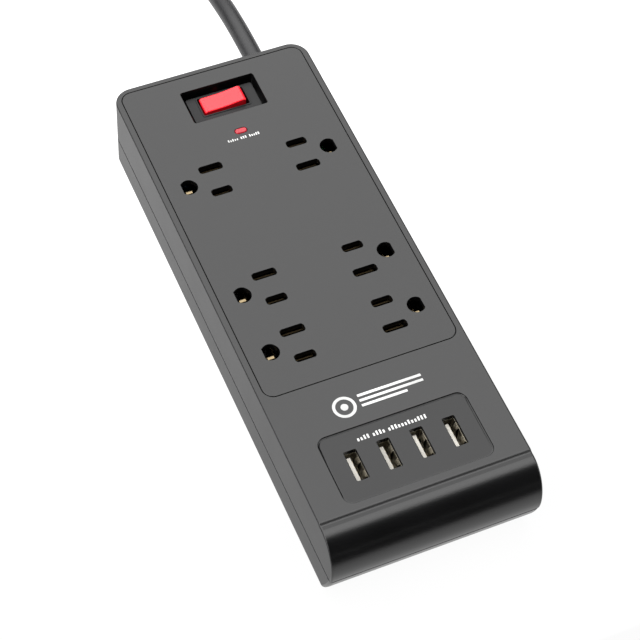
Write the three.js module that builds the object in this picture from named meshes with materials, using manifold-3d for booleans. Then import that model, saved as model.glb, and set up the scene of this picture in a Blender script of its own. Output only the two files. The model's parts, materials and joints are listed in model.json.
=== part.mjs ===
// A six-outlet power strip with a lit rocker switch and four USB charging ports.
// Units are millimetres. +Z is up, +Y points to the cord end, the origin is on the floor at the
// middle of the housing.
import * as THREE from 'three';
import { mergeVertices } from 'three/addons/utils/BufferGeometryUtils.js';
import Module from 'manifold-3d';

const wasm = await Module();
wasm.setup();

// ---------- driving dimensions ----------
const HALF_WIDTH = 43.4;
const HALF_LENGTH = 117.3;
const TOP = 38; // outlet face above the floor
const BASE = 1.5; // underside of the housing, held up by the feet
const SPLIT = 16.6; // parting line between the two shells
const WALL = 2.2;
const ROOF = 2.5;
const GAP = 0.3; // clearance between pieces that touch
const BACK_RADIUS = 8;
const FRONT_RADIUS = 2.5;
const NOSE_Y = -105.3; // centre of the rounded nose
const NOSE_Z = 20.5;
const NOSE_DEPTH = 12;
const NOSE_STEP = 0.6; // the nose starts this far below the outlet face
const NOSE_FOOT_Y = -110.8;

const ROWS = [59, 1.5, -27.25];
const COLUMN = 19; // blade slots, from the centre line
const SLOT_OFFSET = 6.35; // half of the 12.7 mm blade spacing
const GROUND_COLUMN = 30.9;

const PANEL = { halfWidth: 40.5, front: -46.6, back: 114.8, radius: 4.5 };
const WELL = { y: 98.3, width: 32.6, depth: 17.3, floor: 31, wall: 1.5 };
const LENS = { y: 79.3, length: 5.2, width: 3 };

const PIVOT = { y: 99, z: 31.9 };
const ROCKER_TILT = THREE.MathUtils.degToRad(-5); // at rest the -X end is pressed
const CONTACT = { z: 22.6, tilt: THREE.MathUtils.degToRad(8) };
const STUB = { radius: 1.2, reach: 5.9 }; // the rocker's pins, from its middle
const ROCKER_HALF_DEPTH = 4;
const SWITCH_FLANGE = { width: 30, depth: 13.8, top: 35 };
const SWITCH_BODY = { width: 21.9, depth: 11.6, bottom: 17 };
const SWITCH_ROOM = { width: 20.3, depth: 9.4, bottom: 19 }; // inside the switch's body
const TERMINAL_SPACING = 7.5;
const TERMINAL_WIDTH = 4.8;

const USB_PORTS = [-20.3, -6.8, 6.8, 20.3];
const USB_Y = -85;
const USB_RECESS = { halfWidth: 30.7, front: -99.7, back: -70, radius: 3.8, depth: 0.6 };
const USB_SHELL = { width: 5.6, depth: 13.1, bottom: 21.9, top: 36 };
const USB_BOARD = { halfWidth: 31, front: -103, back: -60, bottom: 20, thickness: 1.6 };
const SURGE_BOARD = { left: -34, right: 14, front: 68.5, back: 92, bottom: 10, thickness: 1.6 };

const SCREW_X = 37.6;
const SCREW_ROWS = [104, 4, -96];
const SCREW_HEAD = { radius: 2.6, bottom: 2.4, top: 4.7 };
const SCREW_SHANK = { radius: 1.4, top: 26 };
const SCREW_HOLE_RADIUS = 1.75;
const BOSS = { lowRadius: 4, highRadius: 3, top: 34 };
const FOOT = { radius: 5, height: 2, x: 28, rows: [92, -86] };
const KEYHOLES = { rows: [40, -40], radius: 4.5, slot: 4.4, undercut: 9.6, depth: 3.6 };

const GROUND_HOLE_RADIUS = 3.75;
const GROUND_FLAT = THREE.MathUtils.degToRad(41); // half of the arc that the flat cuts off
const SLOT_WIDTH = 3.3;
const NEUTRAL_SLOT = 9.8; // the neutral slots are the longer ones
const HOT_SLOT = 8.4;

const BUS_Z = [18, 24];
const LEAF_TOP = 34.7;
const SHEET = 0.8; // bus bar thickness
const LEAF = 0.6; // contact leaf thickness

const VARISTOR = { columns: [-28, -20, -12], y: 80, z: 21, radius: 7, thickness: 4.2, legSpacing: 7.5 };
const FUSE = { x: 0, y: 72.5, radius: 1.8, length: 10 };
const TRANSFORMER = { x: -13, y: -68, winding: 13, core: [18, 8], height: 11 };
const CAPACITOR = { x: 9, y: -68, radius: 4.2, height: 11.6 };

const CORD_RADIUS = 4.3;
const EXIT = { x: 28, z: SPLIT };
const RELIEF = { start: 111, flange: 7.5, neck: 5.8, collar: 7, root: 6.4, tip: 5.3, length: 10 };
const COIL = { x: -22, y: 274, inner: 34.8, outer: 66.8, bottom: 1.1, top: 18.6 };
const TAIL = { radius: 38, offset: 22 }; // the arc on which the cord's end leaves the coil
const TIE = { halfWidth: 4, wall: 0.8, angle: -0.75 * Math.PI };
const PLUG = { z: 31.9, length: 40, relief: 24, reliefRadii: [5.2, 8] };
const BLADE = { length: 17.5, thickness: 1.5, width: 6.35, rise: 1.3 };
const GROUND_PIN = { radius: 2.4, length: 20.6, drop: 7.4 };

// The cord's route from the strain relief to the coil, and from the coil's top to the plug.
const CORD_ROUTE = [
  [28, 127.6, 16.6], [28, 137, 16.6], [28, 146, 16.5], [28, 155, 15.9], [28.1, 164, 14.6], [28.2, 173, 12.6],
  [28.5, 182, 10.1], [29, 191, 7.7], [29.8, 200, 5.9], [30.8, 209, 4.8], [32, 218, 4.4],
  [33.2, 227.4, 4.35],
];
const TAIL_ROUTE = [
  [33.9, 291.3, 23.9], [29.5, 297.9, 25.9], [23.7, 303.7, 27.8], [16.7, 308.2, 29.5],
  [8.5, 311, 30.9], [3.6, 311.8, 31.7], [0.3, 312, 31.9],
];

// The wires inside, from the cord to the bus bars and the switch.
const WIRE_RADIUS = 1.5;
const WIRES = {
  line: [
    [28, 110, 18.9], [27.6, 108.4, 19.1], [24, 106.6, 19.2], [18.5, 104.5, 15], [15.5, 102, 9],
    [11, 100, 6.2], [8.2, 99.2, 6.4], [7.5, 99, 8.4],
  ],
  neutral: [
    [26.1, 110, 15.4], [26.1, 107, 15], [25.6, 102, 13.6], [24, 93, 13.2], [19.5, 82, 15],
    [14.5, 74, 18.5], [12.4, 65, 20.8], [12.3, 56.8, 21],
  ],
  ground: [
    [29.9, 110, 15.4], [30, 107, 15.4], [31.6, 96, 16], [34.2, 80, 18], [34, 68, 20.6], [33.8, 62.6, 21],
  ],
  feed: [
    [0, 99, 8.4], [0.8, 98.6, 6.6], [4, 97, 5.8], [14, 90.5, 6.6], [21.5, 79, 11], [25.6, 73.6, 17.6],
    [26.2, 69.6, 20.6],
  ],
};

// ---------- materials ----------
const finish = (color, roughness, metalness = 0) =>
  new THREE.MeshStandardMaterial({ color, roughness, metalness });
const BLACK_PLASTIC = finish(0x2b2b2c, 0.55);
const BLACK_RUBBER = finish(0x1b1b1c, 0.8);
const RED_PLASTIC = finish(0xf0404a, 0.25);
const RED_LENS = finish(0xd8303a, 0.15);
const WHITE_PLASTIC = finish(0xf2f2ee, 0.4);
const BRASS = finish(0xb5903f, 0.35, 1);
const NICKEL = finish(0xc8c8c4, 0.3, 1);
const STEEL = finish(0x9a9a9a, 0.35, 1);
const BOARD_GREEN = finish(0x1f5a34, 0.5);
const VARISTOR_BLUE = finish(0x2a4f9c, 0.5);
const INSULATION = {
  line: finish(0x151515, 0.5),
  feed: finish(0x151515, 0.5),
  neutral: finish(0xe8e8e8, 0.5),
  ground: finish(0x1f8a3c, 0.5),
};

// ---------- geometry helpers ----------
const X_AXIS = new THREE.Vector3(1, 0, 0);
const Y_AXIS = new THREE.Vector3(0, 1, 0);
const Z_AXIS = new THREE.Vector3(0, 0, 1);

function block([x0, x1], [y0, y1], [z0, z1]) {
  const box = new THREE.BoxGeometry(x1 - x0, y1 - y0, z1 - z0);
  return box.translate((x0 + x1) / 2, (y0 + y1) / 2, (z0 + z1) / 2);
}

// A block centred at x, y with its bottom and top heights.
function post(x, y, width, depth, bottom, top) {
  return block([x - width / 2, x + width / 2], [y - depth / 2, y + depth / 2], [bottom, top]);
}

// A solid of revolution about the vertical line through x, y from [radius, height] pairs.
function turned(x, y, pairs, sides = 16) {
  const points = pairs.map(([r, z]) => new THREE.Vector2(r, z));
  return new THREE.LatheGeometry(points, sides).rotateX(Math.PI / 2).translate(x, y, 0);
}

function rod(x, y, radius, bottom, top, sides = 16) {
  return turned(x, y, [[0, bottom], [radius, bottom], [radius, top], [0, top]], sides);
}

// The same about a line along Y through x, z from [radius, y] pairs that run towards +Y.
function turnedAlongY(x, z, pairs, sides = 16) {
  const points = pairs.map(([r, y]) => new THREE.Vector2(r, y));
  return new THREE.LatheGeometry(points, sides).translate(x, 0, z);
}

// A prism with its outline in X and Y.
function plate(shape, bottom, top, curveSegments = 4) {
  const depth = top - bottom;
  const geometry = new THREE.ExtrudeGeometry(shape, { depth, bevelEnabled: false, curveSegments });
  return geometry.translate(0, 0, bottom);
}

// A prism along X with its outline in Y and Z.
function prismAlongX(shape, x0, x1, curveSegments) {
  const geometry = new THREE.ExtrudeGeometry(shape, { depth: x1 - x0, bevelEnabled: false, curveSegments });
  return geometry.applyMatrix4(new THREE.Matrix4().makeBasis(Y_AXIS, Z_AXIS, X_AXIS)).translate(x0, 0, 0);
}

// A prism along Y with its outline in X and Z.
function prismAlongY(points, y0, y1) {
  const shape = new THREE.Shape(points.map(([x, z]) => new THREE.Vector2(x, z)));
  const geometry = new THREE.ExtrudeGeometry(shape, { depth: y1 - y0, bevelEnabled: false });
  const basis = new THREE.Matrix4().makeBasis(X_AXIS, Z_AXIS, Y_AXIS.clone().negate());
  return geometry.applyMatrix4(basis).translate(0, y1, 0);
}

// A rectangle with one radius at its -Y corners and another at its +Y corners.
function roundedRectangle(x0, x1, y0, y1, frontRadius, backRadius = frontRadius) {
  const shape = new THREE.Shape();
  shape.moveTo(x0 + frontRadius, y0).lineTo(x1 - frontRadius, y0);
  shape.absarc(x1 - frontRadius, y0 + frontRadius, frontRadius, -Math.PI / 2, 0);
  shape.lineTo(x1, y1 - backRadius).absarc(x1 - backRadius, y1 - backRadius, backRadius, 0, Math.PI / 2);
  shape.lineTo(x0 + backRadius, y1);
  shape.absarc(x0 + backRadius, y1 - backRadius, backRadius, Math.PI / 2, Math.PI);
  shape.lineTo(x0, y0 + frontRadius);
  shape.absarc(x0 + frontRadius, y0 + frontRadius, frontRadius, Math.PI, 1.5 * Math.PI);
  return shape;
}

function tube(route, radius, sides, steps) {
  const section = new THREE.Shape(Array.from({ length: sides }, (_, i) => {
    const angle = (2 * Math.PI * i) / sides;
    return new THREE.Vector2(radius * Math.cos(angle), radius * Math.sin(angle));
  }));
  const points = route.map((point) => new THREE.Vector3(...point));
  const extrudePath = new THREE.CatmullRomCurve3(points, false, 'centripetal');
  return new THREE.ExtrudeGeometry(section, { extrudePath, steps, bevelEnabled: false });
}

function solid(geometry) {
  const bare = geometry.index ? geometry.clone() : geometry;
  bare.deleteAttribute('normal');
  bare.deleteAttribute('uv');
  const merged = mergeVertices(bare, 1e-5);
  const vertProperties = new Float32Array(merged.attributes.position.array);
  const triVerts = new Uint32Array(merged.index.array);
  return new wasm.Manifold(new wasm.Mesh({ numProp: 3, vertProperties, triVerts }));
}

function geometryOf(manifold) {
  const { numProp, vertProperties, triVerts } = manifold.getMesh();
  const positions = new Float32Array((vertProperties.length / numProp) * 3);
  for (let i = 0; i < positions.length / 3; i += 1) {
    for (let k = 0; k < 3; k += 1) positions[3 * i + k] = vertProperties[numProp * i + k];
  }
  const geometry = new THREE.BufferGeometry();
  geometry.setAttribute('position', new THREE.BufferAttribute(positions, 3));
  geometry.setIndex(new THREE.BufferAttribute(new Uint32Array(triVerts), 1));
  geometry.computeVertexNormals();
  return geometry;
}

const joined = (geometries) => geometries.map(solid).reduce((sum, next) => sum.add(next));
const cut = (manifold, geometries) =>
  geometries.map(solid).reduce((rest, next) => rest.subtract(next), manifold);

const strip = new THREE.Group();

function add(name, material, geometry, group = strip) {
  const buffer = geometry instanceof THREE.BufferGeometry ? geometry : geometryOf(geometry);
  const mesh = new THREE.Mesh(buffer, material);
  mesh.name = name;
  group.add(mesh);
  return mesh;
}

// ---------- housing ----------
// The side outline of the housing, moved inwards by inset: flat top, small step, round nose.
function sideOutline(inset) {
  const top = TOP - (inset > 0 ? inset + ROOF - WALL : 0);
  const bottom = BASE + inset;
  const back = HALF_LENGTH - inset;
  const noseDepth = NOSE_DEPTH - inset;
  const noseHeight = TOP - NOSE_STEP - NOSE_Z - inset;
  const shape = new THREE.Shape();
  shape.moveTo(NOSE_FOOT_Y + inset, bottom).lineTo(back, bottom).lineTo(back, top);
  shape.lineTo(NOSE_Y + 2.4, top).lineTo(NOSE_Y, NOSE_Z + noseHeight);
  shape.absellipse(NOSE_Y, NOSE_Z, noseDepth, noseHeight, Math.PI / 2, Math.PI);
  shape.quadraticCurveTo(NOSE_Y - noseDepth, 13, NOSE_FOOT_Y + inset, bottom);
  return shape;
}

function housing(inset) {
  const side = HALF_WIDTH - inset;
  const front = Math.max(FRONT_RADIUS - inset, 0.3);
  const end = HALF_LENGTH - inset;
  const plan = roundedRectangle(-side, side, -HALF_LENGTH - 1, end, front, BACK_RADIUS - inset);
  const profile = prismAlongX(sideOutline(inset), -side, side, 12);
  return solid(profile).intersect(solid(plate(plan, 0, TOP + 5)));
}

const everything = (bottom, top) => solid(block([-60, 60], [-130, 130], [bottom, top]));

const screwPlaces = SCREW_ROWS.flatMap((y) => [-1, 1].map((side) => [side * SCREW_X, y]));

function panelOutline(grow) {
  const side = PANEL.halfWidth + grow;
  return roundedRectangle(-side, side, PANEL.front - grow, PANEL.back + grow, PANEL.radius + grow);
}

// The hole in the back wall for the cord's strain relief, and the room for its inner flange.
function reliefRoom() {
  const radius = RELIEF.neck + GAP;
  const reach = RELIEF.flange + 0.4;
  const hole = turnedAlongY(EXIT.x, EXIT.z, [[0, 110], [radius, 110], [radius, 120], [0, 120]]);
  const flange = block(
    [EXIT.x - reach, EXIT.x + reach],
    [RELIEF.start - 2, HALF_LENGTH - WALL],
    [EXIT.z - reach, EXIT.z + reach],
  );
  return [hole, flange];
}

function topShell() {
  const ledgeHole = roundedRectangle(-38.4, 38.4, PANEL.front + 2.6, PANEL.back - 2.4, 2);
  const ledge = housing(WALL - 0.2).intersect(solid(block([-60, 60], [PANEL.front - 4, 130], [33.2, 35.2])))
    .subtract(solid(plate(ledgeHole, 30, 36)));
  const bosses = screwPlaces.map(([x, y]) => rod(x, y, BOSS.highRadius, SPLIT, BOSS.top));
  const ribs = screwPlaces.map(([x, y]) => post(Math.sign(x) * 40.2, y, 2.6, 2, SPLIT, BOSS.top));
  const walls = housing(0).intersect(everything(SPLIT, TOP + 1)).subtract(housing(WALL));
  const opening = solid(plate(panelOutline(GAP), 34, TOP + 1));
  const shell = walls.subtract(opening).add(ledge).add(joined([...bosses, ...ribs]));
  const { halfWidth, front, back, radius, depth } = USB_RECESS;
  const recess = plate(roundedRectangle(-halfWidth, halfWidth, front, back, radius), TOP - depth, TOP + 1);
  const mouth = [USB_SHELL.width + 2 * GAP, USB_SHELL.depth + 2 * GAP];
  const mouths = USB_PORTS.map((x) => post(x, USB_Y, ...mouth, 34, TOP));
  const screwHoles = screwPlaces.map(
    ([x, y]) => rod(x, y, SCREW_HOLE_RADIUS, SPLIT - 1, SCREW_SHANK.top + 2, 12),
  );
  return cut(shell, [recess, ...mouths, ...screwHoles, ...reliefRoom()]);
}

function bottomShell() {
  const rim = SPLIT - GAP;
  const tray = housing(0).intersect(everything(0, rim)).subtract(housing(WALL));
  const bossNotches = screwPlaces.map(([x, y]) => post(x + Math.sign(x) * 2, y, 10, 6.8, rim, SPLIT + 2));
  const lip = cut(
    housing(WALL - 0.2).intersect(everything(13, rim))
      .add(housing(WALL + GAP).intersect(everything(rim - 1, SPLIT + 1.4))),
    bossNotches,
  ).subtract(housing(WALL + 1.3));
  const bosses = screwPlaces.map(([x, y]) => rod(x, y, BOSS.lowRadius, BASE + 1, rim));
  const ribs = [46, 16, -14].map((y) => post(0, y, 72, 2, BASE + 1, BUS_Z[0] - GAP));
  const boardPosts = [[-26, -99], [26, -99], [-26, -64], [26, -64]]
    .map(([x, y]) => rod(x, y, 2.5, BASE + 1, USB_BOARD.bottom - GAP, 8));
  const surgePosts = [[-30, 72], [10, 88]]
    .map(([x, y]) => rod(x, y, 2.5, BASE + 1, SURGE_BOARD.bottom - GAP, 8));
  const pads = KEYHOLES.rows.map((y) => post(0, y + 3, 18, 28, BASE + 1, BASE + KEYHOLES.depth + 1.7));
  const body = tray.add(lip).add(joined([...bosses, ...ribs, ...boardPosts, ...surgePosts, ...pads]));
  const screwHoles = screwPlaces.flatMap(([x, y]) => [
    rod(x, y, SCREW_HEAD.radius + GAP, 0, SCREW_HEAD.top + GAP, 14),
    rod(x, y, SCREW_HOLE_RADIUS, 0, SPLIT + 1, 12),
  ]);
  const footSeats = footPlaces.map(([x, y]) => rod(x, y, FOOT.radius + GAP, 0, BASE + 0.8, 20));
  return cut(body, [...screwHoles, ...footSeats, ...keyholes(), ...reliefRoom()]);
}

// Two blind keyhole slots in the underside, for hanging the strip on screws.
function keyholes() {
  const { rows, radius, slot, undercut, depth } = KEYHOLES;
  return rows.flatMap((y) => [
    rod(0, y, radius, 0, BASE + depth, 16),
    post(0, y + 5, slot, 10, 0, BASE + depth),
    post(0, y + 3, undercut, 16, BASE + depth - 2, BASE + depth),
  ]);
}

const footPlaces = FOOT.rows.flatMap((y) => [-1, 1].map((side) => [side * FOOT.x, y]));

function outlets() {
  return ROWS.flatMap((y) => [-1, 1].map((side) => ({
    y,
    side,
    neutralY: y - side * SLOT_OFFSET,
    hotY: y + side * SLOT_OFFSET,
  })));
}

// A round ground hole with one flat on the side away from the blade slots.
function groundHole(side, y) {
  const shape = new THREE.Shape();
  const x = side * GROUND_COLUMN;
  const start = (side > 0 ? 0 : Math.PI) + GROUND_FLAT;
  shape.absarc(x, y, GROUND_HOLE_RADIUS, start, start + 2 * (Math.PI - GROUND_FLAT));
  return plate(shape, TOP - ROOF - 1, TOP + 1, 14);
}

function outletPanel() {
  const { y, width, depth, floor, wall } = WELL;
  const panel = solid(plate(panelOutline(0), TOP - ROOF, TOP));
  const tray = post(0, y, width + 2 * wall, depth + 2 * wall, floor - 2, TOP - 1);
  const slots = outlets().flatMap(({ side, neutralY, hotY }) => [
    post(side * COLUMN, neutralY, NEUTRAL_SLOT, SLOT_WIDTH, TOP - ROOF - 1, TOP + 1),
    post(side * COLUMN, hotY, HOT_SLOT, SLOT_WIDTH, TOP - ROOF - 1, TOP + 1),
  ]);
  const grounds = outlets().map(({ side, y: row }) => groundHole(side, row));
  return cut(panel.add(solid(tray)), [
    ...slots,
    ...grounds,
    post(0, y, width, depth, floor, TOP + 1),
    post(0, PIVOT.y, SWITCH_BODY.width + 0.6, SWITCH_BODY.depth + 0.6, floor - 3, floor + 1),
    lensPrism(LENS.length + 2 * GAP, LENS.width + 2 * GAP, TOP - ROOF - 1, TOP + 1),
  ]);
}

function lensPrism(length, width, bottom, top) {
  const { y } = LENS;
  const outline = roundedRectangle(-length / 2, length / 2, y - width / 2, y + width / 2, width / 2 - 0.01);
  return plate(outline, bottom, top, 6);
}

function addHousing() {
  add('top_shell', BLACK_PLASTIC, topShell());
  add('bottom_shell', BLACK_PLASTIC, bottomShell());
  add('outlet_panel', BLACK_PLASTIC, outletPanel());
  add('indicator_lens', RED_LENS, solid(lensPrism(LENS.length, LENS.width, 35, TOP + 0.3))
    .add(solid(lensPrism(LENS.length + 1.6, LENS.width + 1.6, 34.2, 35.1))));
  const corners = ['back_left', 'back_right', 'front_left', 'front_right'];
  footPlaces.forEach(([x, y], i) => {
    add(`foot_${corners[i]}`, BLACK_RUBBER, rod(x, y, FOOT.radius, 0, FOOT.height, 24));
  });
  screwPlaces.forEach(([x, y], i) => add(`case_screw_${i + 1}`, STEEL, turned(x, y, [
    [0, SCREW_HEAD.bottom], [SCREW_HEAD.radius, SCREW_HEAD.bottom], [SCREW_HEAD.radius, SCREW_HEAD.top],
    [SCREW_SHANK.radius, SCREW_HEAD.top], [SCREW_SHANK.radius, SCREW_SHANK.top], [0, SCREW_SHANK.top + 1],
  ], 12)));
}

// ---------- switch ----------
function switchHousing() {
  const { y } = PIVOT;
  const { top } = SWITCH_FLANGE;
  const flange = solid(post(0, WELL.y, SWITCH_FLANGE.width, SWITCH_FLANGE.depth, WELL.floor + GAP, top));
  const body = solid(post(0, y, SWITCH_BODY.width, SWITCH_BODY.depth, SWITCH_BODY.bottom, top - 1));
  const room = post(0, y, SWITCH_ROOM.width, SWITCH_ROOM.depth, SWITCH_ROOM.bottom, top + 1);
  const slot = [SHEET + 2 * GAP, TERMINAL_WIDTH + 2 * GAP];
  const slots = [-1, 0, 1].map((i) => post(i * TERMINAL_SPACING, y, ...slot, 16, 20));
  const reach = 6.3;
  const pivotHole = turnedAlongY(0, PIVOT.z, [
    [0, y - reach], [STUB.radius + GAP, y - reach], [STUB.radius + GAP, y + reach], [0, y + reach],
  ], 12);
  return cut(flange.add(body), [room, ...slots, pivotHole]);
}

// The rocker about its own pivot: a shallow V on top, arms that clear the housing, hollow below.
function rocker() {
  const half = [[9.3, 5.4], [9.1, 3.3], [8.9, -1], [3.2, -2], [2.4, -3.4]];
  const outline = [[0, 4.5], ...half, ...half.map(([x, z]) => [-x, z]).reverse()].reverse();
  const { radius, reach } = STUB;
  const stub = turnedAlongY(0, 0, [[0, -reach], [radius, -reach], [radius, reach], [0, reach]], 12);
  const pockets = [-1, 1].map((side) => post(side * 5.7, 0, 4.8, 6.8, -4, 2.6));
  const body = joined([prismAlongY(outline, -ROCKER_HALF_DEPTH, ROCKER_HALF_DEPTH), stub]);
  return cut(body, [...pockets, rod(0, 0, 1.5, -5, 2.5, 12)]);
}

function spring(radius, wire, bottom, top, turns) {
  const steps = turns * 9;
  const route = Array.from({ length: steps + 1 }, (_, i) => {
    const angle = (2 * Math.PI * turns * i) / steps;
    return [radius * Math.cos(angle), radius * Math.sin(angle), bottom + ((top - bottom) * i) / steps];
  });
  return tube(route, wire, 5, steps);
}

function addSwitch() {
  add('switch_housing', BLACK_PLASTIC, switchHousing());
  const tilted = new THREE.Group();
  tilted.position.set(0, PIVOT.y, PIVOT.z);
  tilted.rotation.y = ROCKER_TILT;
  strip.add(tilted);
  add('rocker', RED_PLASTIC, rocker(), tilted);
  const pin = turned(0, 0, [[0, -7.4], [0.7, -7.1], [1.15, -6.2], [1.15, -1.6], [0, -1.6]], 12);
  add('plunger', BRASS, pin, tilted);
  add('plunger_spring', STEEL, spring(0.8, 0.2, -1.1, 2, 5), tilted);
  const lamp = turnedAlongY(5.6, 0.9, [[0, -3.2], [1.3, -2.6], [1.3, 2.8], [0, 2.8]], 12);
  add('switch_lamp', RED_LENS, lamp, tilted);
  const seesaw = new THREE.Group();
  seesaw.position.set(0, PIVOT.y, CONTACT.z);
  seesaw.rotation.y = CONTACT.tilt;
  strip.add(seesaw);
  add('moving_contact', BRASS, block([-8.4, 8.4], [-2, 2], [0.3, 0.9]), seesaw);
  const tops = { lamp: 21.4, common: 22.4, load: 21.4 };
  Object.entries(tops).forEach(([name, top], i) => {
    const x = (i - 1) * TERMINAL_SPACING;
    add(`${name}_terminal`, BRASS, post(x, PIVOT.y, SHEET, TERMINAL_WIDTH, 9.5, top));
  });
}

// ---------- bus bars ----------
// A bar of side strips with a pair of contact leaves under each slot, joined by one cross strip.
// reach is how far each pair of leaves comes out of its strip, towards the slot.
function busBar(x, reach, crossY, slotYs, spacing) {
  const geometries = [block([-x, x], [crossY - SHEET / 2, crossY + SHEET / 2], BUS_Z)];
  for (const side of [-1, 1]) {
    const ys = slotYs(side);
    const run = [crossY - SHEET / 2, Math.max(...ys) + 3];
    geometries.push(block([side * x - SHEET / 2, side * x + SHEET / 2], run, BUS_Z));
    for (const y of ys) {
      for (const leaf of [-1, 1]) {
        const ends = [side * x, side * (x + reach)].sort((a, b) => a - b);
        const middle = y + (leaf * (spacing + LEAF)) / 2;
        geometries.push(block(ends, [middle - LEAF / 2, middle + LEAF / 2], [BUS_Z[0], LEAF_TOP]));
      }
    }
  }
  return joined(geometries);
}

function addBusBars() {
  add('neutral_bus', BRASS, busBar(12.3, 10.9, -38, (side) => ROWS.map((y) => y - side * SLOT_OFFSET), 1.6));
  add('hot_bus', BRASS, busBar(26.2, -10.9, -42, (side) => ROWS.map((y) => y + side * SLOT_OFFSET), 1.6));
  add('ground_bus', BRASS, busBar(33.8, -5.6, -46, () => ROWS, 3.6));
}

// ---------- surge protection and indicator ----------
// A cylinder along X with its middle at x, y, z.
function barAlongX([x, y, z], radius, length, sides) {
  return new THREE.CylinderGeometry(radius, radius, length, sides).rotateZ(Math.PI / 2).translate(x, y, z);
}

function varistor(x, deck) {
  const { y, z, radius, thickness, legSpacing } = VARISTOR;
  const disc = barAlongX([x, y, z], radius, thickness, 20);
  const legs = [-1, 1].map((side) => post(x, y + (side * legSpacing) / 2, 0.8, 0.8, deck, z - 4));
  return joined([disc, ...legs]);
}

function addSurgeProtection() {
  const { left, right, front, back, bottom, thickness } = SURGE_BOARD;
  const deck = bottom + thickness + GAP;
  add('surge_board', BOARD_GREEN, block([left, right], [front, back], [bottom, bottom + thickness]));
  VARISTOR.columns.forEach((x, i) => add(`varistor_${i + 1}`, VARISTOR_BLUE, varistor(x, deck)));
  const fuse = barAlongX([FUSE.x, FUSE.y, deck + FUSE.radius], FUSE.radius, FUSE.length, 12);
  add('thermal_fuse', WHITE_PLASTIC, fuse);
  const dome = turned(0, LENS.y, [
    [0, 27.8], [1.9, 27.8], [1.9, 28.6], [1.5, 28.6], [1.5, 31.8], [0.9, 33], [0, 33.4],
  ], 12);
  const legs = [-1, 1].map((side) => post(side * 0.9, LENS.y, 0.6, 0.6, deck, 28.2));
  add('indicator_led', RED_LENS, joined([dome, ...legs]));
}

// ---------- USB charger ----------
function addUsbCharger() {
  const { halfWidth, front, back, bottom, thickness } = USB_BOARD;
  const deck = bottom + thickness + GAP;
  add('usb_board', BOARD_GREEN, block([-halfWidth, halfWidth], [front, back], [bottom, bottom + thickness]));
  USB_PORTS.forEach((x, i) => {
    const { width, depth, bottom: low, top } = USB_SHELL;
    const sleeve = solid(post(x, USB_Y, width, depth, low, top));
    const room = post(x, USB_Y, width - 0.8, depth - 0.8, low + 1.1, top + 1);
    add(`usb_shell_${i + 1}`, NICKEL, cut(sleeve, [room]));
    const base = post(x, USB_Y, 4.2, 11.7, low + 1.4, low + 4.4);
    const tongue = block([x - 2.07, x - 0.23], [USB_Y - 5.5, USB_Y + 5.5], [low + 4, 34.9]);
    add(`usb_tongue_${i + 1}`, WHITE_PLASTIC, joined([base, tongue]));
  });
  const { x, y, winding, core, height } = TRANSFORMER;
  add('usb_transformer', BRASS, joined([
    post(x, y, winding, winding, deck + 1, deck + height - 1.4),
    post(x, y, ...core, deck, deck + height),
  ]));
  const can = rod(CAPACITOR.x, CAPACITOR.y, CAPACITOR.radius, deck, deck + CAPACITOR.height, 20);
  add('usb_capacitor', STEEL, can);
}

// ---------- wires inside ----------
function addWires() {
  Object.entries(WIRES).forEach(([name, route]) => {
    add(`${name}_wire`, INSULATION[name], tube(route, WIRE_RADIUS, 8, 12));
  });
}

// ---------- cord and plug ----------
function coilRing() {
  const { x, y, inner, outer, bottom, top } = COIL;
  const edge = 3;
  return turned(x, y, [
    [inner, bottom + edge], [inner + edge, bottom], [outer - edge, bottom], [outer, bottom + edge],
    [outer, top - edge], [outer - edge, top], [inner + edge, top], [inner, top - edge],
    [inner, bottom + edge],
  ], 48);
}

// A strap round the coil's bundle of turns, on the side away from the plug.
function cordTie() {
  const { inner, outer, bottom, top } = COIL;
  const { halfWidth, wall, angle } = TIE;
  const room = [inner - 2 * GAP, outer + GAP];
  const strap = block([room[0] - wall, room[1] + wall], [-halfWidth, halfWidth], [0, top + GAP + wall]);
  const hole = block(room, [-halfWidth - 1, halfWidth + 1], [bottom - GAP, top + GAP]);
  const tie = geometryOf(cut(solid(strap), [hole]));
  return tie.rotateZ(angle).translate(COIL.x, COIL.y, 0);
}

// A prism along X with its outline in Y and Z about the plug's axis.
function plugBody(face, back, y) {
  const outline = [[13, 7], [13, -7], [8, -13], [-8, -13], [-13, -7], [-13, 7], [-8, 13], [8, 13]];
  const shape = new THREE.Shape(outline.map(([a, b]) => new THREE.Vector2(a, b)));
  return prismAlongX(shape, face, back, 1).translate(0, y, PLUG.z);
}

// The plug lies on the coil and points along -X, with its face at the far end.
function addPlug() {
  const end = COIL.x + TAIL.offset;
  const y = COIL.y + TAIL.radius;
  const back = end - PLUG.relief;
  const face = back - PLUG.length;
  const relief = new THREE.CylinderGeometry(...PLUG.reliefRadii, PLUG.relief, 16).rotateZ(-Math.PI / 2);
  add('plug_body', BLACK_RUBBER, joined([
    plugBody(face, back, y),
    relief.translate(end - PLUG.relief / 2 - GAP, y, PLUG.z),
  ]));
  const root = face - GAP;
  const blade = (side) => block(
    [root - BLADE.length, root],
    [y + side * SLOT_OFFSET - BLADE.thickness / 2, y + side * SLOT_OFFSET + BLADE.thickness / 2],
    [PLUG.z + BLADE.rise, PLUG.z + BLADE.rise + BLADE.width],
  );
  add('plug_hot_blade', BRASS, blade(-1));
  add('plug_neutral_blade', BRASS, blade(1));
  const { radius, length, drop } = GROUND_PIN;
  add('plug_ground_pin', BRASS, barAlongX([root - length / 2, y, PLUG.z - drop], radius, length, 14));
}

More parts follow.
